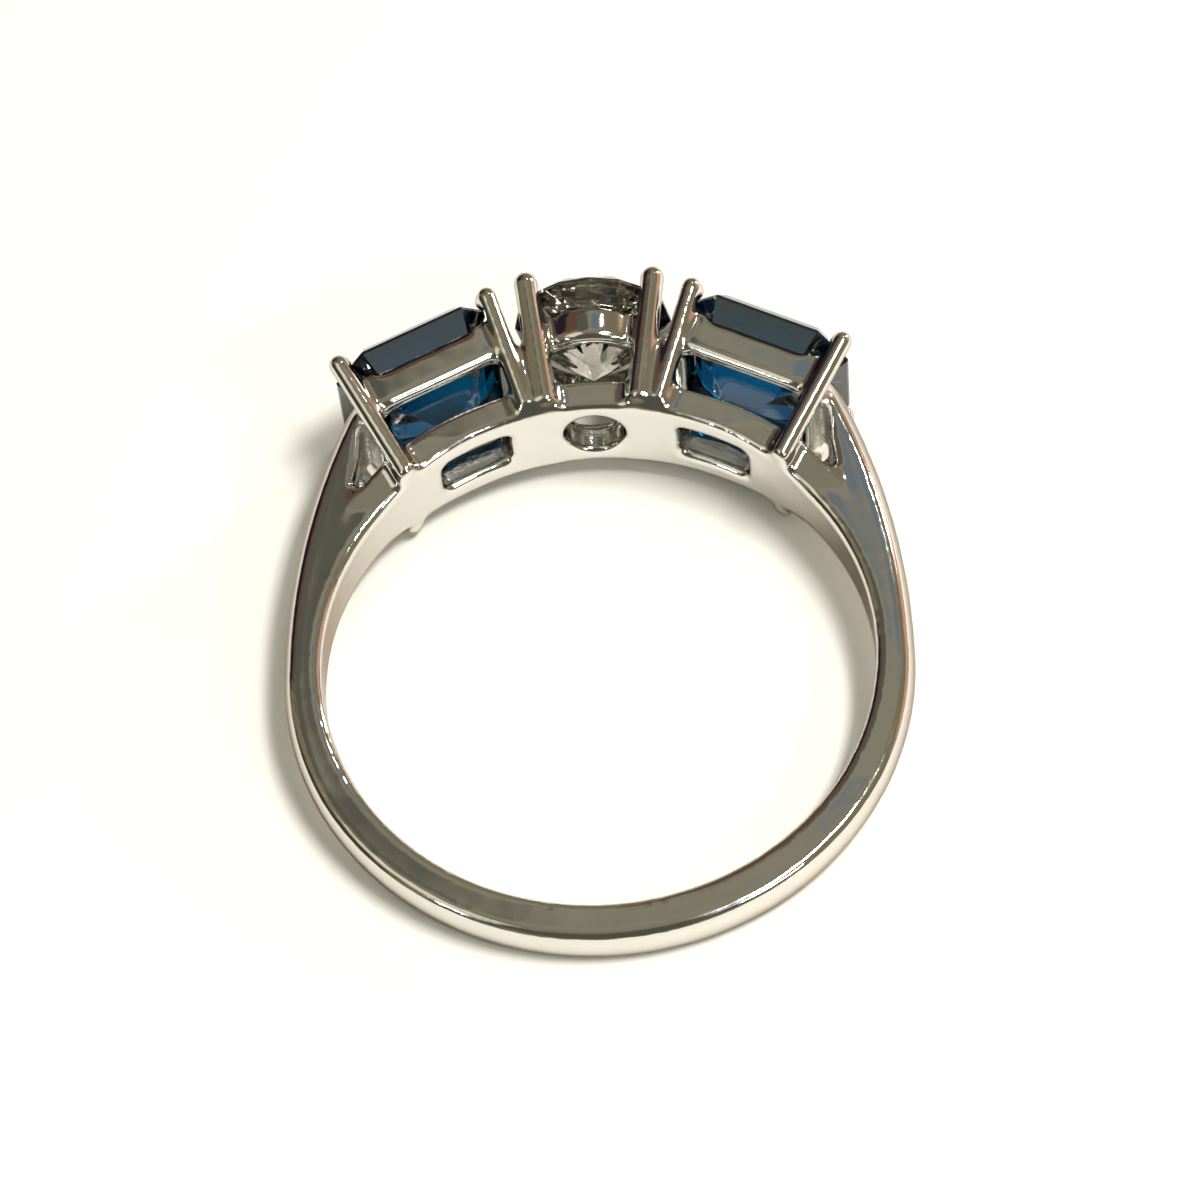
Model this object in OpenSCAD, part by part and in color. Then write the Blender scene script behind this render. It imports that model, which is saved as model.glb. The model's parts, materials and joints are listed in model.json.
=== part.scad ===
// Three stone ring in white metal: a round diamond between two step cut sapphires.
// It lies on its side, as it would by itself, resting on two claws and the back of the band.
// Millimetres, +Z up. Built in ring axes (x across, y toward the stones, z along the finger),
// then leaned by lie_tilt and set down on z = 0.

/* [Band] */
// Inside diameter that the finger goes through
finger_d = 16.6; // [16:0.1:17.4]
// Thickness of the band at the back
back_t = 1.3; // [1.2:0.02:1.36]
// Thickness of the band at the two sides
side_t = 1.08; // [1.04:0.02:1.2]
// Width of the band at the back
back_w = 1.34; // [1.3:0.02:1.5]
// Width of the band at the sides
side_w = 1.76; // [1.66:0.02:1.86]
// Width of the band where it forks
fork_w = 2.1; // [2:0.02:2.2]
// Radius of the domed outer face
dome_r = 1.6; // [1.55:0.05:1.8]
// Thickness of the bridge under the stones
bridge_t = 1.06; // [0.98:0.02:1.12]
// Width of the bridge under the stones
bridge_w = 3; // [2.9:0.05:3.1]
// Radius of the outer line from the sides up to the stones
flank_r = 23.2; // [22.6:0.2:23.8]
// Thickness of the web left in the fork of the shoulders
web_w = 0.7; // [0.5:0.05:0.9]

/* [Windows] */
// Diameter of the round hole under the diamond
round_hole_d = 1.86; // [1.5:0.02:2]
// Length of the windows under the sapphires
window_l = 2.34; // [2:0.02:2.4]
// Width of those windows, along the finger
window_w = 1.46; // [1.1:0.02:1.5]
// Corner radius of the windows
window_corner = 0.25; // [0.15:0.05:0.35]

/* [Diamond] */
// Girdle diameter
diamond_d = 4.9; // [4.7:0.05:5]
// Height of the girdle above the finger hole
diamond_lift = 4.22; // [4.15:0.01:4.3]
// Table width as a share of the girdle
diamond_table = 0.57; // [0.5:0.01:0.62]
// Crown height as a share of the girdle
diamond_crown = 0.15; // [0.12:0.01:0.17]
// Pavilion depth as a share of the girdle
diamond_pavilion = 0.43; // [0.4:0.01:0.45]

/* [Sapphires] */
// Length across the ring
sapphire_l = 5.4; // [5.2:0.05:5.5]
// Width along the finger
sapphire_w = 4.5; // [4.4:0.05:4.6]
// Width of the cut corners, measured along one side
sapphire_corner = 1; // [0.9:0.05:1.1]
// Height of the girdle above the finger hole
sapphire_lift = 3.98; // [3.9:0.02:4.06]
// Angle of each side stone round the ring
side_angle = 26.5; // [26:0.1:27.2]

/* [Settings] */
// Height of the diamond's collar, lip included
diamond_collar_h = 1.18; // [1.1:0.02:1.26]
// Height of the sapphires' collars, lip included
sapphire_collar_h = 1.4; // [1.3:0.02:1.46]
// Wall thickness of the collars
collar_t = 0.35; // [0.3:0.05:0.4]
// Radius of the rolled lower lip of the collars
lip_r = 0.26; // [0.2:0.02:0.28]
// Diameter of the prongs of the diamond
diamond_prong_d = 0.84; // [0.76:0.02:0.88]
// Diameter of the prongs of the sapphires
sapphire_prong_d = 0.66; // [0.6:0.02:0.7]
// Gap between a stone and the metal that holds it
stone_gap = 0.02; // [0.01:0.01:0.04]

/* [Hidden] */
$fn = 96;
metal_color = [0.78, 0.77, 0.73];
diamond_color = [0.9, 0.93, 0.95, 0.6];
sapphire_color = [0.05, 0.13, 0.28];
// Long enough to run through anything
far = 40;
// How far a cutter runs past what it cuts
cut = 1;
// Keeps a rolled lip just inside its wall
lip_step = 0.01;
bore_r = finger_d / 2;

// Side outline of the band: a round back and two flatter flanks
back_r = (back_t + side_t) / 2 + bore_r;
back_y = (side_t - back_t) / 2;
flank_start = -1;
flank_x = (flank_r - back_r) * cos(flank_start);
flank_y = back_y - (flank_r - back_r) * sin(flank_start);
join_y = back_y + back_r * sin(flank_start);
edge_drop = dome_r - sqrt(dome_r * dome_r - back_w * back_w / 4);

// The fork of the shoulders, and their ends on the side collars
arm_in_x = bore_r - 1.15;
arm_in_y = bore_r + 0.1;
fork_x = bore_r - 0.68;
fork_y = bore_r - 3.75;
web_top_x = bore_r - 1.08;
web_top_y = bore_r - 1.4;
web_low_x = bore_r - 1.9;
web_low_y = bore_r - 2.05;
bridge_r = bore_r + bridge_t;

// Width of the band against height, back to head
width_steps = [
    [-back_r - 1, back_w / 2],
    [-4.5, back_w / 2 + 0.02],
    [0, side_w / 2],
    [bore_r - 3, fork_w / 2],
    [bore_r + 3, fork_w / 2 + 0.15]
];
bridge_steps = [
    [bore_r - 4, fork_w / 2 - 0.1],
    [bore_r - 3, fork_w / 2],
    [bore_r - 1.6, bridge_w / 2 - 0.12],
    [bore_r - 0.8, bridge_w / 2],
    [bore_r + 3, bridge_w / 2]
];

// Heights of the stones and collars, and how far the collars and tips lie from the girdles
diamond_collar_drop = 0.8;
sapphire_collar_drop = 0.58;
diamond_tip_rise = 0.18;
sapphire_tip_rise = 0.05;
diamond_y = bore_r + diamond_lift;
diamond_r = diamond_d / 2;
girdle_t = 0.12;
culet_room_r = 0.06;
sapphire_y = bore_r + sapphire_lift;
diamond_collar_y = diamond_y - diamond_collar_drop;
sapphire_collar_y = sapphire_y - sapphire_collar_drop;
diamond_collar_r = 2.05;
collar_half_l = sapphire_l / 2 - 0.22;
collar_half_w = sapphire_w / 2 - 0.25;
collar_corner = 0.6;

// Prongs, in the axes of their own stone: tip and foot
diamond_tip = [1.97, diamond_y + diamond_tip_rise, 1.97];
diamond_foot = [1.42, bore_r + 0.15, 1.42];
sapphire_tip_y = sapphire_y + sapphire_tip_rise;
sapphire_tip_w = 2.1;
inner_tip = [-2.6, sapphire_tip_y, sapphire_tip_w];
inner_foot = [-1.98, bore_r + 0.1, 1.45];
outer_tip = [2.5, sapphire_tip_y, sapphire_tip_w];
outer_foot = [2.29, bore_r - 0.36, 1.45];
diamond_tip_r = diamond_prong_d / 2 - 0.04;
sapphire_tip_r = sapphire_prong_d / 2 - 0.01;
claw_r = 0.24;

// Pose: resting on the two outer claws and the back of the band
rest_y = outer_tip[1] * cos(side_angle) - outer_tip[0] * sin(side_angle);
edge_y = bore_r + back_t - edge_drop;
rest_run = rest_y + edge_y;
rest_rise = sapphire_tip_w - back_w / 2;
rest_reach = sqrt(rest_run * rest_run + rest_rise * rest_rise);
lie_tilt = atan2(rest_rise, rest_run) + asin(sapphire_tip_r / rest_reach);
floor_z = edge_y * sin(lie_tilt) + back_w / 2 * cos(lie_tilt);
low_y = -(bore_r + back_t - dome_r) * cos(lie_tilt) - dome_r;
high_y = diamond_tip[1] * cos(lie_tilt) + diamond_tip[2] * sin(lie_tilt) + diamond_tip_r;
centre_y = (low_y + high_y) / 2;

module lay_down() {
    translate([0, -centre_y, floor_z]) rotate([lie_tilt, 0, 0]) children();
}

// A stone's own axes: x along it, y out of the ring, z along the finger
module at_side(side) {
    rotate([0, 0, -side * side_angle]) mirror([side < 0 ? 1 : 0, 0, 0]) children();
}

module both_sides() {
    for (side = [-1, 1]) at_side(side) children();
}

module slab(points, w = far) {
    linear_extrude(height = w, center = true) polygon(points);
}

module across(r, w = far) {
    cylinder(h = w, r = r, center = true);
}

// A disc with a domed rim
module barrel(r) {
    rotate_extrude() translate([r - dome_r, 0]) circle(r = dome_r);
    cylinder(h = 2.6, r = r - 1.3, center = true);
}

module back_half() {
    intersection() {
        translate([0, back_y, 0]) barrel(back_r);
        translate([-far / 2, join_y - far, -far / 2]) cube([far, far, far]);
    }
}

module flanks() {
    intersection() {
        translate([-flank_x, flank_y, 0]) barrel(flank_r - 0.01);
        translate([flank_x, flank_y, 0]) barrel(flank_r - 0.01);
        slab([
            [-far / 2, join_y - 0.3], [far / 2, join_y - 0.3],
            [far / 2, bore_r - 0.1], [bore_r - 0.1, bore_r - 0.1],
            [bore_r - 0.5, bore_r + 0.7], [bore_r - 1, bore_r + 1],
            [1 - bore_r, bore_r + 1], [0.5 - bore_r, bore_r + 0.7],
            [0.1 - bore_r, bore_r - 0.1], [-far / 2, bore_r - 0.1]
        ]);
    }
}

// A taper seen along x, from pairs of height and half width
module taper(steps) {
    down = [for (i = [len(steps) - 1:-1:0]) [steps[i][0], -steps[i][1]]];
    rotate([0, 90, 0]) rotate([0, 0, 90]) linear_extrude(height = far, center = true)
        polygon(concat(steps, down));
}

// The part of the ring that runs on under the stones
module bridge() {
    intersection() {
        across(bridge_r);
        taper(bridge_steps);
    }
}

// Room under the stones, between the two shoulders and above the bridge
module head_room() {
    slab([
        [-arm_in_x, bore_r + 4], [-arm_in_x, arm_in_y], [-web_top_x, web_top_y],
        [-web_low_x, web_low_y], [web_low_x, web_low_y],
        [web_top_x, web_top_y], [arm_in_x, arm_in_y], [arm_in_x, bore_r + 4]
    ]);
}

// The groove that fades down each side face from the fork
module fork_groove(side, face) {
    groove_l = web_top_y - fork_y;
    groove_d = (fork_w - web_w) / 2;
    mirror([side < 0 ? 1 : 0, 0, 0]) mirror([0, 0, face < 0 ? 1 : 0])
        translate([fork_x, fork_y, fork_w / 2 + 0.03])
            rotate([-atan2(groove_d, groove_l), 0, 0])
                linear_extrude(height = 3)
                    polygon([
                        [0, 0], [web_top_x - fork_x, groove_l * 1.05],
                        [web_low_x - fork_x, (web_low_y - fork_y) * 1.08]
                    ]);
}

module window() {
    half_l = window_l / 2 - window_corner;
    half_w = window_w / 2 - window_corner;
    h = bridge_t + 2 * cut;
    translate([-0.08, 0, 0]) rotate([-90, 0, 0]) translate([0, 0, bore_r - cut]) {
        for (x = [-half_l, half_l], z = [-half_w, half_w])
            translate([x, z, 0]) cylinder(h = h, r = window_corner);
        translate([-half_l, -window_w / 2, 0]) cube([2 * half_l, window_w, h]);
        translate([-window_l / 2, -half_w, 0]) cube([window_l, 2 * half_w, h]);
    }
}

module band() {
    difference() {
        union() {
            difference() {
                intersection() {
                    union() {
                        back_half();
                        flanks();
                    }
                    taper(width_steps);
                }
                head_room();
                for (side = [-1, 1], face = [-1, 1]) fork_groove(side, face);
            }
            bridge();
        }
        rotate([-90, 0, 0]) cylinder(h = far / 2, d = round_hole_d);
        both_sides() window();
    }
}

// A round bar from a foot to a tip, ending in a ball
module prong(foot, tip, r, tip_r) {
    run = tip - foot;
    len_p = norm(run);
    translate(foot) rotate([0, acos(run[2] / len_p), atan2(run[1], run[0])])
        cylinder(h = len_p, r1 = r, r2 = tip_r - 0.012);
    translate(tip) sphere(r = tip_r);
}

// The folded end of a prong, over the edge of the stone
module claw(tip, centre) {
    lean = (centre - tip) / norm(centre - tip);
    translate(tip + lean * 0.25) sphere(r = claw_r);
}

module diamond_basket() {
    wall_h = diamond_collar_h - lip_r;
    difference() {
        translate([0, diamond_collar_y, 0]) rotate([90, 0, 0])
            cylinder(h = wall_h, r = diamond_collar_r);
        translate([0, diamond_collar_y + cut, 0]) rotate([90, 0, 0])
            cylinder(h = wall_h + 2 * cut, r = diamond_collar_r - collar_t);
    }
    translate([0, diamond_collar_y - wall_h, 0]) rotate([90, 0, 0]) rotate_extrude()
        translate([diamond_collar_r - lip_r - lip_step, 0]) circle(r = lip_r);
    for (x = [-1, 1], z = [-1, 1]) mirror([x < 0 ? 1 : 0, 0, 0]) mirror([0, 0, z < 0 ? 1 : 0]) {
        prong(diamond_foot, diamond_tip, diamond_prong_d / 2, diamond_tip_r);
        claw(diamond_tip, [0, diamond_tip[1], 0]);
    }
}

function octagon(half_l, half_w, corner) = [
    [half_l, half_w - corner], [half_l - corner, half_w],
    [corner - half_l, half_w], [-half_l, half_w - corner],
    [-half_l, corner - half_w], [corner - half_l, -half_w],
    [half_l - corner, -half_w], [half_l, corner - half_w]
];

// A round bar along a closed outline, with a ball at each corner
module rolled_lip(outline) {
    for (i = [0:len(outline) - 1]) {
        start = outline[i];
        run = outline[(i + 1) % len(outline)] - start;
        translate([start[0], start[1], 0]) {
            sphere(r = lip_r);
            rotate([0, 90, atan2(run[1], run[0])]) cylinder(h = norm(run), r = lip_r - lip_step);
        }
    }
}

module sapphire_basket() {
    wall_h = sapphire_collar_h - lip_r;
    inset = lip_r + lip_step;
    lip_corner = collar_corner - inset * (2 - sqrt(2));
    translate([0, sapphire_collar_y, 0]) rotate([90, 0, 0]) difference() {
        linear_extrude(height = wall_h)
            polygon(octagon(collar_half_l, collar_half_w, collar_corner));
        translate([0, 0, -cut]) linear_extrude(height = wall_h + 2 * cut)
            polygon(octagon(collar_half_l - collar_t, collar_half_w - collar_t, collar_corner - 0.1));
    }
    translate([0, sapphire_collar_y - wall_h, 0]) rotate([90, 0, 0])
        rolled_lip(octagon(collar_half_l - inset, collar_half_w - inset, lip_corner));
    for (z = [-1, 1]) mirror([0, 0, z < 0 ? 1 : 0]) {
        prong(inner_foot, inner_tip, sapphire_prong_d / 2, sapphire_tip_r);
        prong(outer_foot, outer_tip, sapphire_prong_d / 2, sapphire_tip_r);
        claw(inner_tip, [0, sapphire_tip_y, 0]);
        claw(outer_tip, [0, sapphire_tip_y, 0]);
    }
}

// The space each stone needs, its gap included
module diamond_room() {
    crown_h = diamond_crown * diamond_d;
    pav_h = diamond_pavilion * diamond_d;
    r = diamond_r + stone_gap;
    table_r = diamond_table * diamond_r + stone_gap;
    translate([0, diamond_y, 0]) rotate([-90, 0, 0]) {
        translate([0, 0, -girdle_t - stone_gap]) {
            cylinder(h = girdle_t + 2 * stone_gap, r = r);
            translate([0, 0, -pav_h]) cylinder(h = pav_h, r1 = culet_room_r, r2 = r);
        }
        translate([0, 0, stone_gap]) cylinder(h = crown_h + stone_gap, r1 = r, r2 = table_r);
    }
}

module ring_mount() {
    color(metal_color) lay_down() difference() {
        union() {
            band();
            diamond_basket();
            both_sides() sapphire_basket();
        }
        across(bore_r);
        diamond_room();
        both_sides() sapphire_body(stone_gap);
    }
}

// Round brilliant: table, 8 star, 8 kite and 16 upper facets; 8 main and 16 lower ones
module diamond() {
    table_r = diamond_table * diamond_r;
    crown_h = diamond_crown * diamond_d;
    pav_h = diamond_pavilion * diamond_d;
    crown_slope = crown_h / (diamond_r - table_r);
    star_r = (table_r * cos(22.5) + diamond_r) / 2;
    star_h = crown_h - (star_r * cos(22.5) - table_r) * crown_slope;
    low_r = diamond_r * 0.24;
    low_h = pav_h * (1 - low_r * cos(22.5) / diamond_r);
    ring8 = [0:7];
    points = concat(
        [for (k = ring8) [table_r * cos(45 * k), table_r * sin(45 * k), crown_h]],
        [for (k = ring8) [star_r * cos(45 * k + 22.5), star_r * sin(45 * k + 22.5), star_h]],
        [for (k = [0:15]) [diamond_r * cos(22.5 * k), diamond_r * sin(22.5 * k), 0]],
        [for (k = [0:15]) [diamond_r * cos(22.5 * k), diamond_r * sin(22.5 * k), -girdle_t]],
        [for (k = ring8) [low_r * cos(45 * k + 22.5), low_r * sin(45 * k + 22.5), -girdle_t - low_h]],
        [[0, 0, -girdle_t - pav_h]]
    );
    faces = concat(
        [[for (k = [7:-1:0]) k]],
        [for (k = ring8) [k, (k + 1) % 8, 8 + k]],
        [for (k = ring8) [k, 8 + k, 16 + 2 * k, 8 + (k + 7) % 8]],
        [for (k = ring8) [8 + k, 17 + 2 * k, 16 + 2 * k]],
        [for (k = ring8) [8 + k, 16 + (2 * k + 2) % 16, 17 + 2 * k]],
        [for (k = [0:15]) [16 + k, 16 + (k + 1) % 16, 32 + (k + 1) % 16, 32 + k]],
        [for (k = ring8) [48 + k, 32 + 2 * k, 33 + 2 * k]],
        [for (k = ring8) [48 + k, 33 + 2 * k, 32 + (2 * k + 2) % 16]],
        [for (k = ring8) [56, 48 + (k + 7) % 8, 32 + 2 * k, 48 + k]]
    );
    color(diamond_color) lay_down() translate([0, diamond_y, 0]) rotate([-90, 0, 0])
        polyhedron(points = points, faces = faces);
}

// Half of the step cut profile, from the girdle's half width: offsets inward and heights
function step_profile(half, gap) = [
    [half - 1.02 + gap, 0.62 + gap],
    [half - 0.42 + gap, 0.38 + gap],
    [half + gap, 0.03],
    [half + gap, -0.07],
    [half - 0.4 + gap, -0.72],
    [half - 1.05 + gap, -1.42],
    [max(half - 2.2, 0.05) + gap, -2.12 - gap]
];

module step_prism(half, gap) {
    right = step_profile(half, gap);
    left = [for (i = [len(right) - 1:-1:0]) [-right[i][0], right[i][1]]];
    slab(concat(right, left), 12);
}

// Step cut stone with cut corners: what four crossing prisms share
module sapphire_body(gap = 0) {
    diagonal = (sapphire_l + sapphire_w - 2 * sapphire_corner) / 2 / sqrt(2);
    turn = 45;
    translate([0, sapphire_y, 0]) intersection() {
        step_prism(sapphire_l / 2, gap);
        rotate([0, 90, 0]) step_prism(sapphire_w / 2, gap);
        rotate([0, turn, 0]) step_prism(diagonal, gap);
        rotate([0, -turn, 0]) step_prism(diagonal, gap);
    }
}

module sapphire_left() {
    color(sapphire_color) lay_down() at_side(-1) sapphire_body();
}

module sapphire_right() {
    color(sapphire_color) lay_down() at_side(1) sapphire_body();
}

ring_mount();
diamond();
sapphire_left();
sapphire_right();
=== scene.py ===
"""Looks of a three stone ring: a cast white gold mount round a brilliant and two step cut sapphires.

The ring lies on its side on a pale table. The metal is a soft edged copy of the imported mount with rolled
collar lips and solder beads, the stones keep their packed facets, and each piece has its own finish.
"""

import json
import logging
import math
from collections.abc import Iterable, Sequence
from dataclasses import dataclass, field
from enum import Enum

import bpy
import numpy as np
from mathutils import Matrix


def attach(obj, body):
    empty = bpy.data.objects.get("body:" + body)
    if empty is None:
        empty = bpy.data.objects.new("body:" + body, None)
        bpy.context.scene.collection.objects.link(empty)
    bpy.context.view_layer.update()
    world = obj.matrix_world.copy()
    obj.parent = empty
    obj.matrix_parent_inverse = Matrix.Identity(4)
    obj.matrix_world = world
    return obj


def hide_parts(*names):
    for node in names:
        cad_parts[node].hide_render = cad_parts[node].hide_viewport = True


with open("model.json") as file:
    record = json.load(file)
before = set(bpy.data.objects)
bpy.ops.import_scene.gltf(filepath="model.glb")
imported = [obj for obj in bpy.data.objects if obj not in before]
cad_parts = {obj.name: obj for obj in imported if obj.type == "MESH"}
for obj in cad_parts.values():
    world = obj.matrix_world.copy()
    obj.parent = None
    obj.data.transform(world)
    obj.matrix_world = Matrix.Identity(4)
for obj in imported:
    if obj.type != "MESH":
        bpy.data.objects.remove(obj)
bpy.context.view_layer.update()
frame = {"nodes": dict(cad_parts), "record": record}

import openvdb
from mathutils import Matrix, Vector

LOG = logging.getLogger("ring")
MM = 0.001
# Degrees of each side stone round the ring
SIDE_ANGLE = 26.5

Rgb = tuple[float, float, float]
Triple = tuple[float, float, float]
Link = bpy.types.NodeSocket


class Slot(Enum):
    """The record's material slots."""

    METAL = "white_metal"
    DIAMOND = "diamond"
    SAPPHIRE = "sapphire"


class Side(Enum):
    """The two side stones, by the sign of their place across the ring."""

    LEFT = -1
    RIGHT = 1


def direction(azimuth: float, elevation: float) -> Vector:
    """The unit vector toward a place round the ring.

    Args:
        azimuth: Degrees round from the near side, to the right.
        elevation: Degrees above the table.

    Returns:
        The vector.
    """
    a, e = math.radians(azimuth), math.radians(elevation)
    return Vector((math.sin(a) * math.cos(e), -math.cos(a) * math.cos(e), math.sin(e)))


class Amount:
    """A number that changes over a surface: a socket that does arithmetic by adding Math nodes."""

    def __init__(self, sheet: "NodeSheet", link: Link) -> None:
        """Keeps the socket and the tree that it belongs to.

        Args:
            sheet: The node tree's builder.
            link: The output socket that carries the number.
        """
        self.sheet = sheet
        self.link = link

    def _math(self, operation: str, *terms: "Amount | float") -> "Amount":
        """Adds one Math node.

        Args:
            operation: The node's operation, as Blender names it.
            terms: Its inputs in order.

        Returns:
            The node's result.
        """
        node = self.sheet.node("ShaderNodeMath", {"operation": operation}, dict(enumerate(terms)))
        return Amount(self.sheet, node.outputs[0])

    def __add__(self, other: "Amount | float") -> "Amount":
        """The sum."""
        return self._math("ADD", self, other)

    __radd__ = __add__

    def __sub__(self, other: "Amount | float") -> "Amount":
        """The difference."""
        return self._math("SUBTRACT", self, other)

    def __rsub__(self, other: float) -> "Amount":
        """The difference, taken from a plain number."""
        return self._math("SUBTRACT", other, self)

    def __mul__(self, other: "Amount | float") -> "Amount":
        """The product."""
        return self._math("MULTIPLY", self, other)

    __rmul__ = __mul__

    def __truediv__(self, other: "Amount | float") -> "Amount":
        """The quotient."""
        return self._math("DIVIDE", self, other)

    def __rtruediv__(self, other: float) -> "Amount":
        """A plain number divided by this one."""
        return self._math("DIVIDE", other, self)

    def smooth(self, low: float, high: float) -> "Amount":
        """Rises smoothly from 0 at low to 1 at high, or falls where low is the larger.

        Args:
            low: The value that gives 0.
            high: The value that gives 1.

        Returns:
            The share, from 0 to 1.
        """
        node = self.sheet.node(
            "ShaderNodeMapRange",
            {"interpolation_type": "SMOOTHSTEP"},
            {"Value": self, "From Min": low, "From Max": high, "To Min": 0.0, "To Max": 1.0},
        )
        return Amount(self.sheet, node.outputs["Result"])


class NodeSheet:
    """Builds the nodes of one tree: a material's, the room's or a Geometry Nodes group's."""

    # The Mix node's colour sockets share their names with others, so they go by number
    FIRST, SECOND, MIXED = 6, 7, 2

    def __init__(self, tree: bpy.types.NodeTree) -> None:
        """Starts on a tree.

        Args:
            tree: The node tree to fill.
        """
        self.tree = tree

    def node(
        self,
        kind: str,
        settings: dict[str, object] | None = None,
        inputs: dict[int | str, object] | None = None,
    ) -> bpy.types.Node:
        """Adds a node, sets its options first and then its sockets.

        Args:
            kind: The node's Blender type.
            settings: Its options by name.
            inputs: Values, links or Amounts by socket name or number.

        Returns:
            The new node.
        """
        made = self.tree.nodes.new(kind)
        for name, value in (settings or {}).items():
            setattr(made, name, value)
        for key, value in (inputs or {}).items():
            socket = made.inputs[key]
            source = value.link if isinstance(value, Amount) else value
            if isinstance(source, bpy.types.NodeSocket):
                self.tree.links.new(source, socket)
            else:
                socket.default_value = source
        return made

    def mix(self, share: Amount, first: Rgb | Link, second: Rgb | Link) -> Link:
        """Mixes two colours.

        Args:
            share: 0 gives the first and 1 the second.
            first: A colour or a link.
            second: A colour or a link.

        Returns:
            The mixed colour.
        """
        node = self.node("ShaderNodeMix", {"data_type": "RGBA"}, {"Factor": share})
        for socket, value in zip((node.inputs[self.FIRST], node.inputs[self.SECOND]), (first, second)):
            if isinstance(value, bpy.types.NodeSocket):
                self.tree.links.new(value, socket)
            else:
                socket.default_value = (*value, 1.0)
        return node.outputs[self.MIXED]

    def facing(self, toward: Link, aim: Vector, low: float, high: float) -> Amount:
        """How nearly a direction points at an aim.

        Args:
            toward: The direction.
            aim: The unit vector that it is held against.
            low: The cosine between them that gives 0.
            high: The cosine that gives 1.

        Returns:
            The share, from 0 to 1.
        """
        node = self.node("ShaderNodeVectorMath", {"operation": "DOT_PRODUCT"}, {0: toward, 1: tuple(aim)})
        return Amount(self, node.outputs["Value"]).smooth(low, high)


class Finish(NodeSheet):
    """A material on its own Principled shader, with the patterns that the finishes share."""

    def __init__(self, name: str) -> None:
        """Makes an empty material with one Principled shader.

        Args:
            name: The material's name.
        """
        self.material = bpy.data.materials.new(name)
        self.material.use_nodes = True
        super().__init__(self.material.node_tree)
        self.shader = self.tree.nodes["Principled BSDF"]
        self.place = self.node("ShaderNodeTexCoord").outputs["Object"]

    def set(self, **values: object) -> None:
        """Sets constants on the shader's sockets.

        Args:
            values: Socket names, with _ for a space, and their values.
        """
        for name, value in values.items():
            self.shader.inputs[name.replace("_", " ").title().replace("Ior", "IOR")].default_value = value

    def feed(self, socket: str, source: "Amount | Link") -> None:
        """Links a source to one of the shader's sockets.

        Args:
            socket: The socket's name.
            source: What goes in.
        """
        self.tree.links.new(source.link if isinstance(source, Amount) else source, self.shader.inputs[socket])

    def turned(self, turn: Sequence[float], scale: Sequence[float]) -> Link:
        """Object coordinates in millimetres, turned and stretched for a pattern.

        Args:
            turn: Euler angles in radians.
            scale: Stretch along each axis, on top of the millimetres.

        Returns:
            The coordinates.
        """
        node = self.node(
            "ShaderNodeMapping",
            {"vector_type": "POINT"},
            {"Vector": self.place, "Rotation": tuple(turn), "Scale": tuple(s / MM for s in scale)},
        )
        return node.outputs["Vector"]

    def noise(self, per_mm: float, detail: float = 2.0, at: Link | None = None) -> Amount:
        """Even noise.

        Args:
            per_mm: How many lumps to a millimetre.
            detail: Finer octaves.
            at: The coordinates in millimetres, or the object's own if left out.

        Returns:
            Values around a half.
        """
        vector = at if at is not None else self.turned((0, 0, 0), (1, 1, 1))
        node = self.node("ShaderNodeTexNoise", None, {"Vector": vector, "Scale": per_mm, "Detail": detail})
        return Amount(self, node.outputs["Fac"])

    def attribute(self, name: str) -> Amount:
        """A number stored on the mesh.

        Args:
            name: The attribute's name.

        Returns:
            Its value.
        """
        return Amount(self, self.node("ShaderNodeAttribute", {"attribute_name": name}).outputs["Fac"])

    def bump(self, height: Amount, depth_mm: float) -> None:
        """Feeds a height field to the shader's normal.

        Args:
            height: The field, from 0 to 1.
            depth_mm: What 1 stands for.
        """
        node = self.node(
            "ShaderNodeBump", None, {"Height": height, "Distance": depth_mm * MM, "Strength": 1.0}
        )
        self.feed("Normal", node.outputs["Normal"])


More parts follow.
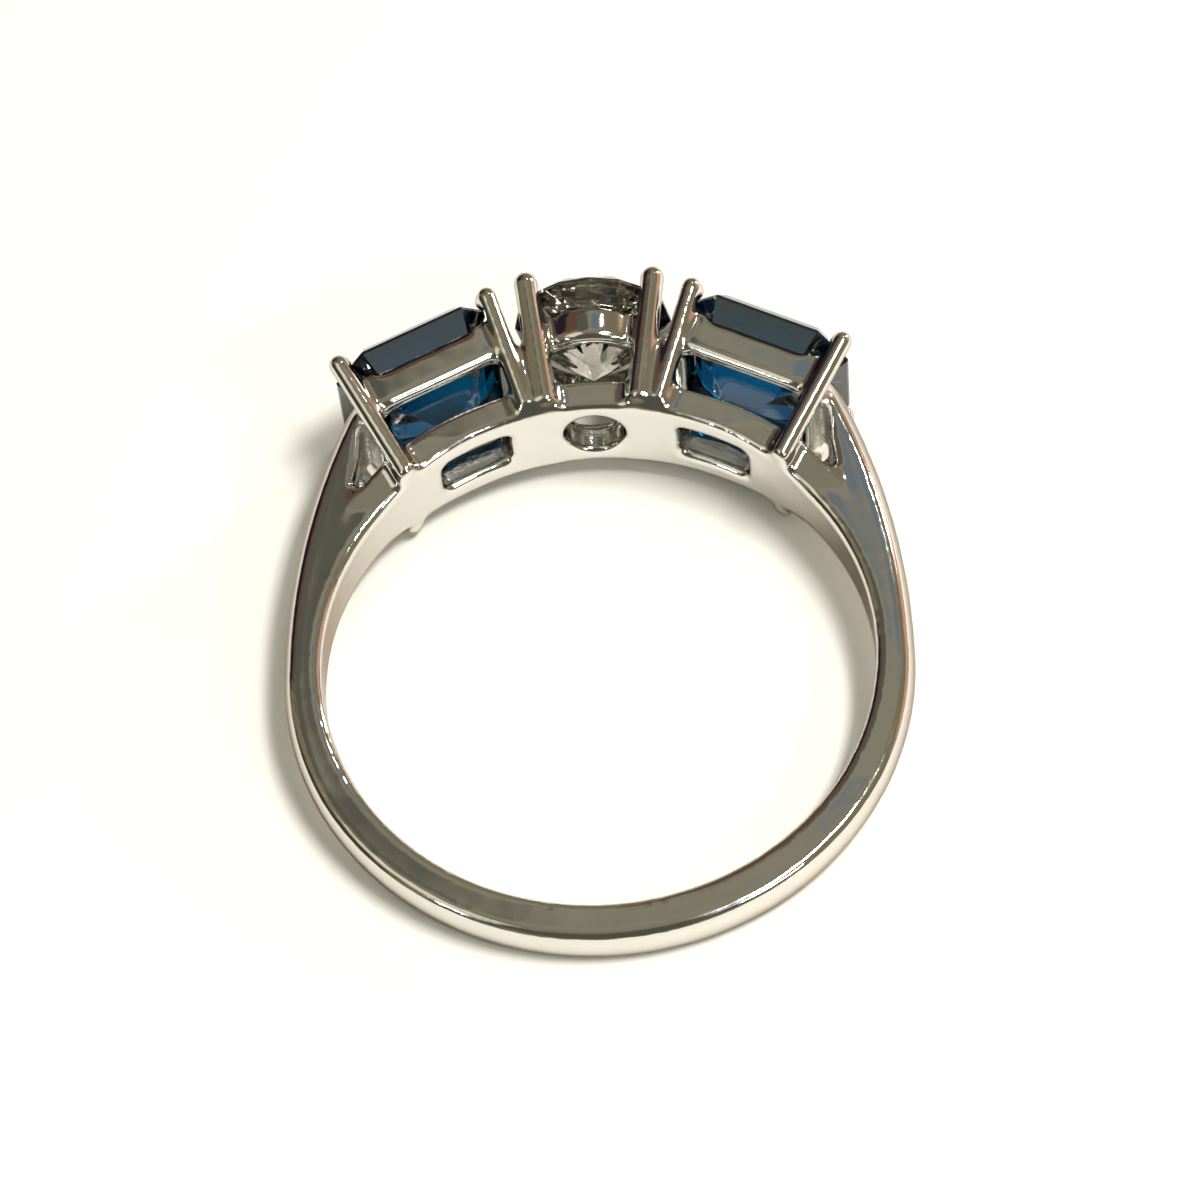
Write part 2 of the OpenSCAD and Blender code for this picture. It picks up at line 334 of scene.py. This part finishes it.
@dataclass(frozen=True)
class GoldFinish:
    """Polished white gold, rough where no wheel reaches and painted lighter there against the hollows' shade,
    with hairlines from wear.
    """

    tint: Rgb = (0.765, 0.755, 0.72)
    worn_tint: Rgb = (0.715, 0.705, 0.68)
    # Lighter colour for the hollows: painted light that offsets the shade they sit in
    recess_painted_light_tint: Rgb = (0.92, 0.92, 0.88)
    edge_tint: Rgb = (0.42, 0.36, 0.32)
    polished: float = 0.06
    cast: float = 0.34
    recess_from_mm: float = 0.12
    recess_to_mm: float = 0.5
    hair_turn: Triple = (0, 0, 0.15)
    hair_stretch: Triple = (38, 2.2, 12)
    cross_turn: Triple = (0.2, 0, 0.9)
    cross_stretch: Triple = (45, 1.6, 20)
    smears_per_mm: float = 0.55
    grains_per_mm: float = 5.5
    swells_per_mm: float = 0.8
    wear_tinted: float = 0.5
    smears_tinted: float = 0.4
    dulled: float = 0.05
    cast_grain: float = 1.6
    swell_height: float = 0.12
    hair_height: float = 0.003
    grain_height: float = 0.5
    bump_mm: float = 0.06

    def build(self) -> bpy.types.Material:
        """The material of the mount.

        Returns:
            The material.
        """
        made = Finish("white_gold")
        made.set(metallic=1.0, ior=1.5, specular_tint=(*self.edge_tint, 1.0))
        recess = made.attribute("recess").smooth(self.recess_from_mm, self.recess_to_mm)
        hairs = made.noise(1.0, 3.0, made.turned(self.hair_turn, self.hair_stretch))
        cross = made.noise(1.0, 2.0, made.turned(self.cross_turn, self.cross_stretch))
        smears = made.noise(self.smears_per_mm, 3.0).smooth(0.42, 0.72)
        grain = made.noise(self.grains_per_mm, 5.0)
        wear = (hairs.smooth(0.55, 0.75) + cross.smooth(0.62, 0.78)) * smears
        worn = wear * self.wear_tinted + smears * self.smears_tinted
        skin = made.mix(worn, self.tint, self.worn_tint)
        # Painted light: the hollows are mixed towards a lighter colour to offset their shade
        made.feed("Base Color", made.mix(recess, skin, self.recess_painted_light_tint))
        dull = self.polished + wear * self.dulled + smears * self.dulled
        made.feed("Roughness", dull + recess * (self.cast - self.polished) * grain * self.cast_grain)
        swells = made.noise(self.swells_per_mm, 1.0)
        height = swells * self.swell_height + (hairs + cross) * self.hair_height
        made.bump(height + recess * grain * self.grain_height, self.bump_mm)
        return made.material


@dataclass(frozen=True)
class StoneFinish:
    """A cut stone that bends light, with faint cloudy depth in its colour."""

    name: str
    tint: Rgb
    deep_tint: Rgb
    bend: float
    clear: float = 1.0
    shine: float = 0.5
    clouds_per_mm: float = 0.5
    cloud_from: float = 0.35
    cloud_to: float = 0.65

    def build(self) -> bpy.types.Material:
        """The stone's material.

        Returns:
            The material.
        """
        made = Finish(self.name)
        made.set(roughness=0.0, ior=self.bend, transmission_weight=self.clear)
        made.shader.inputs["Specular IOR Level"].default_value = self.shine
        cloud = made.noise(self.clouds_per_mm, 2.0).smooth(self.cloud_from, self.cloud_to)
        made.feed("Base Color", made.mix(cloud, self.tint, self.deep_tint))
        return made.material


@dataclass
class RingAxes:
    """The ring's own axes: across, toward the stones and along the finger, in millimetres."""

    centre: Vector = field(default_factory=Vector)
    lean: float = 0.0

    @classmethod
    def from_record(cls, record: dict) -> "RingAxes":
        """Reads the finger hole's place and axis.

        Args:
            record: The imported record.

        Returns:
            The ring's axes.
        """
        hole = next(m for m in record["mounts"] if m["name"] == "finger_hole")
        axis = Vector(hole["axis"]).normalized()
        return cls(Vector(hole["pos_m"]), math.atan2(-axis.y, axis.z))

    @property
    def matrix(self) -> Matrix:
        """From ring axes in millimetres to the row frame in metres."""
        return Matrix.Translation(self.centre) @ Matrix.Rotation(self.lean, 4, "X") @ Matrix.Scale(MM, 4)

    def stone(self, side: Side | None, angle: float) -> Matrix:
        """A stone's own axes, in which y points out of the ring.

        Args:
            side: Which side stone, or None for the middle one.
            angle: The side stones' angle round the ring, in degrees.

        Returns:
            From the stone's axes in millimetres to the row frame in metres.
        """
        if side is None:
            return self.matrix
        turn = Matrix.Rotation(-side.value * math.radians(angle), 4, "Z")
        return self.matrix @ turn @ Matrix.Diagonal((side.value, 1, 1, 1))


class Surface:
    """A closed surface as plain arrays, and the rolling ball that rounds it."""

    # Cells known beyond the reach that is asked for
    SPARE = 3.0

    def __init__(self, points: np.ndarray, faces: np.ndarray) -> None:
        """Keeps points in millimetres and faces of three or four corners."""
        self.points = np.ascontiguousarray(points, np.float32)
        self.faces = np.ascontiguousarray(faces, np.uint32)

    @classmethod
    def joined(cls, meshes: Iterable[bpy.types.Mesh]) -> "Surface":
        """Joins meshes, which may run into each other.

        Args:
            meshes: Closed meshes in metres.

        Returns:
            Their triangles in millimetres.
        """
        points, faces, start = [], [], 0
        for mesh in meshes:
            mesh.calc_loop_triangles()
            place = np.empty(len(mesh.vertices) * 3, np.float32)
            mesh.vertices.foreach_get("co", place)
            corners = np.empty(len(mesh.loop_triangles) * 3, np.int32)
            mesh.loop_triangles.foreach_get("vertices", corners)
            points.append(place.reshape(-1, 3) / MM)
            faces.append(corners.reshape(-1, 3) + start)
            start += len(mesh.vertices)
        return cls(np.concatenate(points), np.concatenate(faces))

    def grid(self, cell: float, reach: float) -> openvdb.FloatGrid:
        """Distances from the surface.

        Args:
            cell: The grid's pitch in millimetres.
            reach: How far from the surface they are known.

        Returns:
            The distances in millimetres, negative inside.
        """
        corners = {"triangles" if self.faces.shape[1] == 3 else "quads": self.faces}
        transform = openvdb.createLinearTransform(voxelSize=cell)
        return openvdb.FloatGrid.createLevelSetFromPolygons(
            self.points, transform=transform, halfWidth=reach / cell + self.SPARE, **corners
        )

    def moved(self, offset: float, cell: float) -> "Surface":
        """The surface at an even distance, outward or inward.

        Args:
            offset: The distance in millimetres, negative inward.
            cell: The grid's pitch.

        Returns:
            The new surface.
        """
        return Field.around(self, cell, abs(offset)).blurred(cell).surface(offset)

    def closed(self, ball: float, cell: float) -> "Surface":
        """Fillets every hollow corner that a ball of this radius can't reach."""
        return self.moved(ball, cell).moved(-ball, cell)

    def opened(self, ball: float, cell: float) -> "Surface":
        """Rounds every outer edge to this radius."""
        return self.moved(-ball, cell).moved(ball, cell)

    def relaxed(self) -> "Surface":
        """The surface with each point halfway to the mean of its neighbours."""
        starts, ends = self.faces.ravel(), np.roll(self.faces, -1, axis=1).ravel()
        count = np.bincount(starts, minlength=len(self.points))
        near = self.points[ends]
        mean = np.stack([np.bincount(starts, near[:, axis]) / count for axis in range(3)], axis=1)
        return Surface((self.points + mean) / 2, self.faces)

    def mesh(self, name: str) -> bpy.types.Mesh:
        """A Blender mesh in metres, shaded smooth.

        Args:
            name: The mesh's name.

        Returns:
            The mesh.
        """
        made = bpy.data.meshes.new(name)
        made.from_pydata((self.points.astype(float) * MM).tolist(), [], self.faces.tolist())
        made.shade_smooth()
        made.update()
        return made


class Field:
    """Distances from a surface in a block of cells, which blur and blend without leaving steps."""

    # Cells left free round the surface
    MARGIN = 8
    # How far the brush goes, in standard deviations
    BRUSH_REACH = 2.5
    # The squared slope under which points aren't let down any faster
    LEAST_SLOPE = 0.25

    def __init__(self, low: np.ndarray, cell: float, values: np.ndarray) -> None:
        """Keeps the block.

        Args:
            low: The lowest cell's whole numbers.
            cell: The pitch in millimetres.
            values: The distances in millimetres, negative inside.
        """
        self.low = low
        self.cell = cell
        self.values = values

    @classmethod
    def around(cls, surface: Surface, cell: float, reach: float, like: "Field | None" = None) -> "Field":
        """The block that a surface fills.

        Args:
            surface: The surface.
            cell: The pitch in millimetres.
            reach: How far from the surface the distances are known.
            like: Another field whose cells it shares.

        Returns:
            The field.
        """
        if like:
            low, shape = like.low, like.values.shape
        else:
            room = cls.MARGIN + math.ceil(reach / cell)
            low = np.floor(surface.points.min(0) / cell).astype(int) - room
            shape = np.ceil(surface.points.max(0) / cell).astype(int) + room - low
        values = np.empty(shape, np.float32)
        surface.grid(cell, reach).copyToArray(values, ijk=tuple(int(v) for v in low))
        return cls(low, cell, values)

    def blurred(self, width: float) -> "Field":
        """The field under a soft brush, which takes the grid's own pattern out of sharp edges.

        The brush is twice a bell less that bell's own blur, so round forms keep their size under it.

        Args:
            width: The brush's standard deviation in millimetres.

        Returns:
            The softer field.
        """
        half = math.ceil(self.BRUSH_REACH * width / self.cell)
        bell = np.exp(-0.5 * (np.arange(-half, half + 1) * self.cell / width) ** 2)
        bell /= bell.sum()
        brush = (2 * np.pad(bell, half) - np.convolve(bell, bell)).astype(np.float32)
        values = self.values
        for axis in range(3):
            values = sum(np.roll(values, s - 2 * half, axis) * share for s, share in enumerate(brush))
        return Field(self.low, self.cell, values)

    def blended(self, other: "Field", share: np.ndarray) -> "Field":
        """Between this field, where the share is 0, and another, where it is 1."""
        return Field(self.low, self.cell, self.values + (other.values - self.values) * share)

    def places(self) -> list[np.ndarray]:
        """The cells' x, y and z in millimetres, each along its own axis of the block."""
        along = [(np.arange(n) + start) * self.cell for n, start in zip(self.values.shape, self.low)]
        return list(np.meshgrid(*along, indexing="ij", sparse=True))

    def at(self, points: np.ndarray) -> np.ndarray:
        """The distances at some points.

        Args:
            points: The points in millimetres.

        Returns:
            One distance a point.
        """
        place = points / self.cell - self.low
        whole = np.floor(place).astype(int)
        part = (place - whole).astype(np.float32)
        total = np.zeros(len(points), np.float32)
        for corner in np.ndindex(2, 2, 2):
            share = np.prod(np.where(corner, part, 1 - part), axis=1)
            total += share * self.values[tuple((whole + corner).T)]
        return total

    def slope(self, points: np.ndarray) -> np.ndarray:
        """How the distance grows along x, y and z at some points, for one millimetre."""
        steps = np.eye(3) * (self.cell / 2)
        rises = [(self.at(points + step) - self.at(points - step)) / self.cell for step in steps]
        return np.stack(rises, axis=1)

    def surface(self, level: float = 0.0) -> Surface:
        """The surface at one distance.

        Args:
            level: The distance in millimetres.

        Returns:
            Its faces of four corners.
        """
        grid = openvdb.FloatGrid(float(self.values.max()))
        grid.transform = openvdb.createLinearTransform(voxelSize=self.cell)
        grid.gridClass = openvdb.GridClass.LEVEL_SET
        grid.copyFromArray(self.values, ijk=tuple(int(v) for v in self.low))
        points, quads = grid.convertToQuads(isovalue=level)
        return Surface(points, quads[:, ::-1])

    def settled(self, rounds: int) -> Surface:
        """The surface with its points spread evenly and let down exactly onto it.

        Args:
            rounds: How often they are spread and let down.

        Returns:
            The even surface.
        """
        made = self.surface()
        for _ in range(rounds):
            made = made.relaxed()
            slope = self.slope(made.points)
            drop = self.at(made.points) / np.maximum((slope * slope).sum(1), self.LEAST_SLOPE)
            made = Surface(made.points - slope * drop[:, None], made.faces)
        return made


@dataclass(frozen=True)
class GroupInput:
    """A named input of a Geometry Nodes tree: its name, socket kind and value."""

    name: str
    kind: str
    value: float | int


class ShapeTree(NodeSheet):
    """A Geometry Nodes tree with named inputs, run once and baked to a plain mesh."""

    def __init__(self, name: str, inputs: Sequence[GroupInput]) -> None:
        """Makes the tree and its sockets.

        Args:
            name: The tree's name.
            inputs: Its inputs after the geometry.
        """
        group = bpy.data.node_groups.new(name, "GeometryNodeTree")
        super().__init__(group)
        group.interface.new_socket("Geometry", in_out="INPUT", socket_type="NodeSocketGeometry")
        group.interface.new_socket("Geometry", in_out="OUTPUT", socket_type="NodeSocketGeometry")
        self.inputs = inputs
        self.identifiers = {
            item.name: group.interface.new_socket(item.name, in_out="INPUT", socket_type=item.kind).identifier
            for item in inputs
        }
        self.source = self.node("NodeGroupInput")

    def value(self, name: str) -> Link:
        """The socket of a named input."""
        return self.source.outputs[name]

    def bake(self, base: bpy.types.Object, result: Link, finish: bpy.types.Material) -> bpy.types.Mesh:
        """Runs the tree on an object, and turns the result into a plain mesh.

        Args:
            base: The object that the tree starts from. It is removed.
            result: The tree's last geometry socket.
            finish: The material that the mesh gets.

        Returns:
            The baked mesh.
        """
        real = self.node("GeometryNodeRealizeInstances", None, {"Geometry": result})
        dressed = self.node("GeometryNodeSetMaterial", None, {
            "Geometry": real.outputs[0], "Material": finish,
        })
        self.node("NodeGroupOutput", None, {"Geometry": dressed.outputs[0]})
        modifier = base.modifiers.new(self.tree.name, "NODES")
        modifier.node_group = self.tree
        for item in self.inputs:
            modifier[self.identifiers[item.name]] = item.value
        bpy.context.scene.collection.objects.link(base)
        seen = base.evaluated_get(bpy.context.evaluated_depsgraph_get())
        made = bpy.data.meshes.new_from_object(seen)
        base.modifiers.clear()
        bpy.data.objects.remove(base)
        return made


@dataclass
class CollarLips:
    """The rolled lower edges of the three collars."""

    axes: RingAxes
    lip_r: float = 0.26
    diamond_r: float = 2.05
    diamond_y: float = 10.8
    side_angle: float = SIDE_ANGLE
    half_l: float = 2.48
    half_w: float = 2.0
    corner: float = 0.6
    side_y: float = 10.56
    bend_r: float = 0.12
    round_steps: int = 48
    bend_steps: int = 4
    tube_sides: int = 20

    def _outline(self) -> list[tuple[float, float]]:
        """The octagon that the side lips follow, inset by the lip's radius."""
        long, wide = self.half_l - self.lip_r, self.half_w - self.lip_r
        cut = self.corner - self.lip_r * (2 - math.sqrt(2))
        quarter = [(long, wide - cut), (long - cut, wide)]
        right = quarter + [(-x, z) for x, z in reversed(quarter)]
        return right + [(-x, -z) for x, z in right]

    def _circle(self) -> list[tuple[float, float]]:
        """The circle that the middle lip follows."""
        r = self.diamond_r - self.lip_r
        turns = [2 * math.pi * i / self.round_steps for i in range(self.round_steps)]
        return [(r * math.cos(t), r * math.sin(t)) for t in turns]

    def build(self, finish: bpy.types.Material) -> bpy.types.Mesh:
        """Sweeps a round section along the three outlines.

        Args:
            finish: The metal.

        Returns:
            One mesh of three closed tubes.
        """
        curve = bpy.data.curves.new("lip_paths", "CURVE")
        curve.dimensions = "3D"
        sides = [(self.axes.stone(s, self.side_angle), self._outline(), self.side_y) for s in Side]
        for place, outline, y in [(self.axes.stone(None, 0), self._circle(), self.diamond_y), *sides]:
            spline = curve.splines.new("POLY")
            spline.points.add(len(outline) - 1)
            spline.use_cyclic_u = True
            for point, (x, z) in zip(spline.points, outline):
                point.co = (*(place @ Vector((x, y, z))), 1.0)
        tree = ShapeTree("collar_lips", [
            GroupInput("Lip Radius", "NodeSocketFloat", self.lip_r * MM),
            GroupInput("Bend Radius", "NodeSocketFloat", self.bend_r * MM),
            GroupInput("Sides", "NodeSocketInt", self.tube_sides),
        ])
        bent = tree.node("GeometryNodeFilletCurve", {"mode": "POLY"}, {
            "Curve": tree.value("Geometry"), "Radius": tree.value("Bend Radius"), "Count": self.bend_steps,
        })
        section = tree.node("GeometryNodeCurvePrimitiveCircle", None, {
            "Resolution": tree.value("Sides"), "Radius": tree.value("Lip Radius"),
        })
        swept = tree.node("GeometryNodeCurveToMesh", None, {
            "Curve": bent.outputs[0], "Profile Curve": section.outputs[0],
        })
        return tree.bake(bpy.data.objects.new("lip_paths", curve), swept.outputs[0], finish)


@dataclass
class SolderBeads:
    """The uneven beads of solder round the feet of the twelve prongs."""

    axes: RingAxes
    side_angle: float = SIDE_ANGLE
    middle_foot: tuple[float, float, float] = (1.5, 9.11, 1.36)
    inner_foot: tuple[float, float, float] = (-1.93, 9.11, 1.34)
    outer_foot: tuple[float, float, float] = (2.2, 8.62, 1.3)
    bead_r: float = 0.34
    uneven: float = 0.3
    seed: int = 7
    fineness: int = 3

    def _feet(self) -> list[Vector]:
        """The places of the twelve beads, in the row frame."""
        x, y, z = self.middle_foot
        places = [(self.axes.stone(None, 0), [(x, y, z), (-x, y, z)])]
        places += [(self.axes.stone(s, self.side_angle), [self.inner_foot, self.outer_foot]) for s in Side]
        return [
            place @ Vector((x, y, face * z))
            for place, feet in places for x, y, z in feet for face in (-1, 1)
        ]

    def build(self, finish: bpy.types.Material) -> bpy.types.Mesh:
        """Sets one bead at each foot.

        Args:
            finish: The metal.

        Returns:
            One mesh of twelve balls.
        """
        points = bpy.data.meshes.new("feet")
        points.from_pydata([tuple(p) for p in self._feet()], [], [])
        tree = ShapeTree("solder_beads", [
            GroupInput("Bead Radius", "NodeSocketFloat", self.bead_r * MM),
            GroupInput("Smallest", "NodeSocketFloat", 1 - self.uneven),
            GroupInput("Seed", "NodeSocketInt", self.seed),
        ])
        ball = tree.node("GeometryNodeMeshIcoSphere", None, {
            "Radius": tree.value("Bead Radius"), "Subdivisions": self.fineness,
        })
        size = tree.node("FunctionNodeRandomValue", {"data_type": "FLOAT"}, {
            2: tree.value("Smallest"), 3: 1.0, "Seed": tree.value("Seed"),
        })
        placed = tree.node("GeometryNodeInstanceOnPoints", None, {
            "Points": tree.value("Geometry"), "Instance": ball.outputs[0], "Scale": size.outputs[1],
        })
        return tree.bake(bpy.data.objects.new("feet", points), placed.outputs[0], finish)


@dataclass
class Mount:
    """The soldered metal: band, forked shoulders, bridge, collars and prongs in one skin."""

    node: bpy.types.Object
    axes: RingAxes
    cell: float = 0.055
    last_cell: float = 0.09
    solder_ball: float = 0.13
    edge_ball: float = 0.1
    brush: float = 0.07
    band_ball: float = 0.18
    band_top: float = 5.3
    fade: float = 0.9
    wheel_ball: float = 0.9
    settle_rounds: int = 4

    def _band_share(self, places: Sequence[np.ndarray]) -> np.ndarray:
        """How far places belong to the plain band, and not to the settings and the fork.

        Args:
            places: Their x, y and z in millimetres of the row frame.

        Returns:
            Shares from 0 to 1.
        """
        row = np.array(self.axes.matrix.inverted() @ Matrix.Scale(MM, 4))[1]
        up = sum(k * place for k, place in zip(row, places)) + row[3]
        share = ((self.band_top + self.fade - up) / self.fade).clip(0, 1).astype(np.float32)
        return share * share * (3 - 2 * share)

    def build(self, finish: GoldFinish) -> bpy.types.Object:
        """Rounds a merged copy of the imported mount, and marks what no polishing wheel reaches.

        Args:
            finish: The metal's finish.

        Returns:
            The piece.
        """
        metal = finish.build()
        lips = CollarLips(self.axes).build(metal)
        beads = SolderBeads(self.axes).build(metal)
        rough = Surface.joined([self.node.data, lips, beads])
        soft = rough.closed(self.solder_ball, self.cell).opened(self.edge_ball, self.cell)
        fine = Field.around(soft, self.last_cell, self.band_ball)
        core = Field.around(soft.opened(self.band_ball, self.cell), self.last_cell, self.band_ball, fine)
        blend = fine.blended(core, self._band_share(fine.places()))
        skin = blend.blurred(self.brush).settled(self.settle_rounds)
        wheel_cell = 2 * self.cell
        wheel = Field.around(soft.closed(self.wheel_ball, wheel_cell), wheel_cell, self.wheel_ball)
        recess = -wheel.at(skin.points)
        mesh = skin.mesh("ring_metal")
        mesh.attributes.new("recess", "FLOAT", "POINT").data.foreach_set("value", recess.clip(0))
        mesh.materials.append(metal)
        piece = bpy.data.objects.new("ring_metal", mesh)
        bpy.context.scene.collection.objects.link(piece)
        for source in (lips, beads):
            bpy.data.meshes.remove(source)
        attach(piece, "root")
        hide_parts(self.node.name)
        LOG.info("%s: %d faces", piece.name, len(mesh.polygons))
        return piece


@dataclass
class Stones:
    """The round diamond and the two step cut sapphires, on their packed facets."""

    nodes: dict[str, bpy.types.Object]
    diamond: StoneFinish = StoneFinish(Slot.DIAMOND.value, (0.75, 0.74, 0.68), (0.60, 0.585, 0.53), 2.417)
    sapphire: StoneFinish = StoneFinish(
        Slot.SAPPHIRE.value, (0.003, 0.095, 0.23), (0.002, 0.045, 0.125), 1.77, shine=0.35
    )

    def build(self) -> list[bpy.types.Object]:
        """Dresses the three packed stones.

        Returns:
            The pieces.
        """
        finishes = {"diamond": self.diamond.build()}
        blue = self.sapphire.build()
        finishes |= {f"sapphire_{side.name.lower()}": blue for side in Side}
        for name, material in finishes.items():
            stone = self.nodes[name]
            stone.data.materials.clear()
            stone.data.materials.append(material)
            LOG.info("%s: %d facets", name, len(stone.data.polygons))
        return [self.nodes[name] for name in finishes]


@dataclass
class Lamp:
    """One soft box: where it stands, in degrees and millimetres, and what it gives.

    One that doesn't show through isn't seen in the stones' depth, and one that doesn't shine isn't
    mirrored, so that it lights the table alone.
    """

    name: str
    azimuth: float
    elevation: float
    distance: float
    width: float
    height: float
    power: float
    colour: Rgb = (1.0, 1.0, 1.0)
    shows_through: bool = True
    shines: bool = True

    def build(self, aim: Vector) -> bpy.types.Object:
        """Adds the lamp, turned to its aim.

        Args:
            aim: The point that it lights.

        Returns:
            The lamp.
        """
        data = bpy.data.lights.new(self.name, "AREA")
        data.shape = "RECTANGLE"
        data.size, data.size_y = self.width * MM, self.height * MM
        data.energy, data.color = self.power, self.colour
        lamp = bpy.data.objects.new(self.name, data)
        back = direction(self.azimuth, self.elevation)
        lamp.location = aim + back * self.distance * MM
        lamp.rotation_euler = back.to_track_quat("Z", "Y").to_euler()
        lamp.visible_transmission = self.shows_through
        lamp.visible_glossy = self.shines
        bpy.context.scene.collection.objects.link(lamp)
        return lamp


@dataclass(frozen=True)
class Patch:
    """A part of the room with a colour of its own, round and soft at its rim, in degrees."""

    name: str
    azimuth: float
    elevation: float
    core: float
    rim: float
    colour: Rgb

    def paint(self, sheet: NodeSheet, toward: Link, under: Rgb | Link) -> Link:
        """Lays the patch over what the room has so far.

        Args:
            sheet: The world's nodes.
            toward: The direction looked in.
            under: The colour so far.

        Returns:
            The colour with the patch.
        """
        rim, core = math.cos(math.radians(self.rim)), math.cos(math.radians(self.core))
        share = sheet.facing(toward, direction(self.azimuth, self.elevation), rim, core)
        return sheet.mix(share, under, self.colour)


@dataclass
class Studio:
    """The table, the room's dim light, the soft boxes and the camera."""

    axes: RingAxes
    table_colour: Rgb = (0.83, 0.81, 0.75)
    table_half_mm: float = 900.0
    table_rough: float = 0.6
    room: Rgb = (0.225, 0.19, 0.119)
    room_seen: Rgb = (0.80, 0.79, 0.77)
    patches: tuple[Patch, ...] = (
        Patch("ceiling", 185, 84, 9, 17, (0.25, 0.228, 0.17)),
        Patch("back_wall", 184, 64, 12, 18, (0.285, 0.262, 0.195)),
        Patch("brown_wall", 214, 38, 18, 26, (0.135, 0.072, 0.052)),
        Patch("shade", 210, 62, 8, 11.5, (0.115, 0.108, 0.087)),
        Patch("daylight", 167, 63, 5, 7.5, (0.165, 0.20, 0.23)),
        Patch("doorway", 228, 22, 15, 20, (0.020, 0.015, 0.028)),
        Patch("hood", 4, 42, 24, 36, (0.10, 0.092, 0.075)),
        Patch("window", 41, 51, 5, 9, (0.72, 0.90, 0.98)),
        Patch("side_window", 313, 48, 5, 9, (0.55, 0.78, 0.78)),
        Patch("low_right", 38, 28, 8, 13, (0.05, 0.06, 0.07)),
        Patch("low_left", 317, 26, 9, 15, (0.05, 0.06, 0.07)),
        Patch("left_fill", 287, 60, 11, 18, (0.85, 0.80, 0.62)),
        Patch("left_wall", 275, 16, 14, 26, (0.05, 0.048, 0.045)),
        Patch("warm_wall", 118, 14, 16, 28, (0.66, 0.385, 0.27)),
    )
    lamps: tuple[Lamp, ...] = (
        Lamp("key", 74, 67, 420, 160, 66, 1.55, (1.0, 0.99, 0.965), shows_through=False),
        Lamp("soft", 104, 68, 420, 220, 220, 0.36, (1.0, 0.99, 0.965), shows_through=False, shines=False),
        Lamp("sky", 250, 72, 420, 300, 300, 0.16, (0.96, 1.0, 1.0), shows_through=False, shines=False),
        Lamp("right", 47, 36, 420, 110, 34, 0.30, (1.0, 0.99, 0.97), shows_through=False),
        Lamp("far", 131, 22, 400, 26, 110, 0.30, (1.0, 0.98, 0.95)),
        Lamp("glint", 152, 56, 420, 10, 22, 0.06, (1.0, 0.98, 0.95)),
        Lamp("dot_one", -44, 33, 420, 13, 13, 0.07, (1.0, 0.98, 0.94)),
        Lamp("dot_two", -50, 33.5, 420, 13, 13, 0.07, (1.0, 0.98, 0.94)),
    )
    view_azimuth: float = 4.8
    view_elevation: float = 58.8
    view_roll: float = -6.7
    view_distance: float = 150.0
    aim_right: float = 0.02
    aim_up: float = 2.0
    lens: float = 149.85
    sensor: float = 36.0
    nearest_m: float = 0.01
    farthest_m: float = 10.0

    def table(self) -> bpy.types.Object:
        """The pale table top.

        Returns:
            The table.
        """
        half = self.table_half_mm * MM
        mesh = bpy.data.meshes.new("table")
        corners = [(-half, -half, 0), (half, -half, 0), (half, half, 0), (-half, half, 0)]
        mesh.from_pydata(corners, [], [(0, 1, 2, 3)])
        top = Finish("table_top")
        top.set(base_color=(*self.table_colour, 1.0), roughness=self.table_rough)
        mesh.materials.append(top.material)
        table = bpy.data.objects.new("table", mesh)
        bpy.context.scene.collection.objects.link(table)
        return table

    def light(self) -> None:
        """The room's own light and the soft boxes."""
        world = bpy.data.worlds.new("room")
        world.use_nodes = True
        sheet = NodeSheet(world.node_tree)
        toward = sheet.node("ShaderNodeTexCoord").outputs["Generated"]
        colour: Rgb | Link = self.room
        for patch in self.patches:
            colour = patch.paint(sheet, toward, colour)
        seen = Amount(sheet, sheet.node("ShaderNodeLightPath").outputs["Is Camera Ray"])
        colour = sheet.mix(seen, colour, self.room_seen)
        world.node_tree.links.new(colour, world.node_tree.nodes["Background"].inputs["Color"])
        bpy.context.scene.world = world
        for lamp in self.lamps:
            lamp.build(self.axes.centre)

    def camera(self) -> bpy.types.Object:
        """The camera, at the photo's angle.

        Returns:
            The camera.
        """
        roll = math.radians(self.view_roll)
        back = direction(self.view_azimuth, self.view_elevation)
        right = Vector((0, 0, 1)).cross(back).normalized()
        up = back.cross(right)
        c, s = math.cos(roll), math.sin(roll)
        right, up = right * c + up * s, up * c - right * s
        eye = back * self.view_distance + right * self.aim_right + up * self.aim_up
        turn = Matrix((right, up, back)).transposed().to_4x4()
        data = bpy.data.cameras.new("camera")
        data.lens, data.sensor_width = self.lens, self.sensor
        data.clip_start, data.clip_end = self.nearest_m, self.farthest_m
        camera = bpy.data.objects.new("camera", data)
        lean = Matrix.Rotation(self.axes.lean, 4, "X")
        camera.matrix_world = Matrix.Translation(self.axes.matrix @ eye) @ lean @ turn
        bpy.context.scene.collection.objects.link(camera)
        bpy.context.scene.camera = camera
        return camera


def main() -> None:
    """Builds the stage, the mount and the stones in order."""
    logging.basicConfig(level=logging.INFO, format="%(name)s: %(message)s")
    axes = RingAxes.from_record(frame["record"])
    studio = Studio(axes)
    studio.camera()
    studio.table()
    studio.light()
    bpy.context.scene.view_settings.view_transform = "Standard"
    Mount(frame["nodes"]["ring_mount"], axes).build(GoldFinish())
    Stones(frame["nodes"]).build()


if __name__ == "__main__":
    main()
